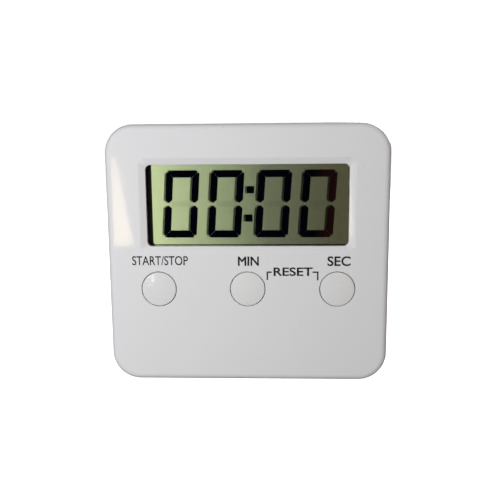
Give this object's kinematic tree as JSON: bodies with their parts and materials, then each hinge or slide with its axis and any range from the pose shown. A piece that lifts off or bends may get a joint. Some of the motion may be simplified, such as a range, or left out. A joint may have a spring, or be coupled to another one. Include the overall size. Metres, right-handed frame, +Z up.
{
  "type": "digital kitchen timer",
  "caption": "Small white digital countdown timer with a segment display, round push buttons, a fold-out back stand, back magnets and a coin-slot battery cover.",
  "frame": {"origin": "middle of the base edge on the surface that the timer stands on, at the middle of its width and depth", "axes": "+X to the right seen from the front, +Y out of the back, +Z up; the display and buttons face -Y"},
  "size_m": [0.065, 0.015, 0.06],
  "materials": {
    "case_white": "glossy moulded white",
    "case_back": "satin moulded white",
    "clear_window": "clear moulded acrylic",
    "black_plastic": "matt black",
    "display_film": "polarising film",
    "display_glass": "clear glass",
    "display_segments": "dark liquid crystal",
    "display_reflector": "grey-green reflecting film",
    "elastomer": "striped elastomer",
    "foam": "foam",
    "board": "green solder mask",
    "black_resin": "cured resin",
    "bright_metal": "drawn metal can",
    "capacitor_body": "fired ceramic",
    "resistor_body": "black glaze",
    "silicone": "translucent silicone",
    "button_white": "glossy moulded white",
    "carbon_rubber": "conductive carbon rubber",
    "sounder_brass": "rolled brass",
    "sounder_ceramic": "silvered ceramic",
    "wire_red": "insulated wire",
    "wire_black": "insulated wire",
    "cell_steel": "nickel-plated steel",
    "contact_plate": "nickel-plated spring strip",
    "cover_white": "satin moulded white",
    "stand_white": "satin moulded white",
    "magnet": "sintered ferrite",
    "screw_steel": "zinc-plated steel"
  },
  "bodies": {
    "case": {"front_shell": "case_white", "back_shell": "case_back", "window_lens": "clear_window", "lcd_bezel": "black_plastic", "lcd_polariser": "display_film", "lcd_front_glass": "display_glass", "lcd_segments": "display_segments", "lcd_rear_glass": "display_glass", "lcd_reflector": "display_reflector", "zebra_strip": "elastomer", "foam_pad": "foam", "circuit_board": "board", "chip_blob": "black_resin", "timing_crystal": "bright_metal", "chip_capacitors": "capacitor_body", "chip_resistors": "resistor_body", "key_membrane": "silicone", "piezo_disc": "sounder_brass", "piezo_ceramic": "sounder_ceramic", "piezo_wire_red": "wire_red", "piezo_wire_black": "wire_black", "button_cell": "cell_steel", "positive_contact": "contact_plate", "negative_contact": "contact_plate", "magnet_left": "magnet", "magnet_right": "magnet", "case_screws": "screw_steel", "board_screws": "screw_steel"},
    "start_button": {"start_button": "button_white", "start_pill": "carbon_rubber"},
    "minute_button": {"minute_button": "button_white", "minute_pill": "carbon_rubber"},
    "second_button": {"second_button": "button_white", "second_pill": "carbon_rubber"},
    "battery_cover": {"battery_cover": "cover_white"},
    "stand": {"stand": "stand_white"}
  },
  "joints": [
    {"name": "start_press", "type": "slide", "parent": "case", "child": "start_button", "axis": [0, 1, 0], "range_m": [0, 0.0006], "stiffness_N_per_m": 900, "springref_m": -0.0004, "deforming": ["key_membrane"]},
    {"name": "minute_press", "type": "slide", "parent": "case", "child": "minute_button", "axis": [0, 1, 0], "range_m": [0, 0.0006], "stiffness_N_per_m": 900, "springref_m": -0.0004, "deforming": ["key_membrane"]},
    {"name": "second_press", "type": "slide", "parent": "case", "child": "second_button", "axis": [0, 1, 0], "range_m": [0, 0.0006], "stiffness_N_per_m": 900, "springref_m": -0.0004, "deforming": ["key_membrane"]},
    {"name": "cover_twist", "type": "hinge", "parent": "case", "child": "battery_cover", "pos_m": [0, 0.0069, 0.046], "axis": [0, 1, 0], "range_deg": [0, 40]},
    {"name": "stand_hinge", "type": "hinge", "parent": "case", "child": "stand", "pos_m": [0, 0.006, 0.031], "axis": [1, 0, 0], "range_deg": [0, 65]}
  ]
}
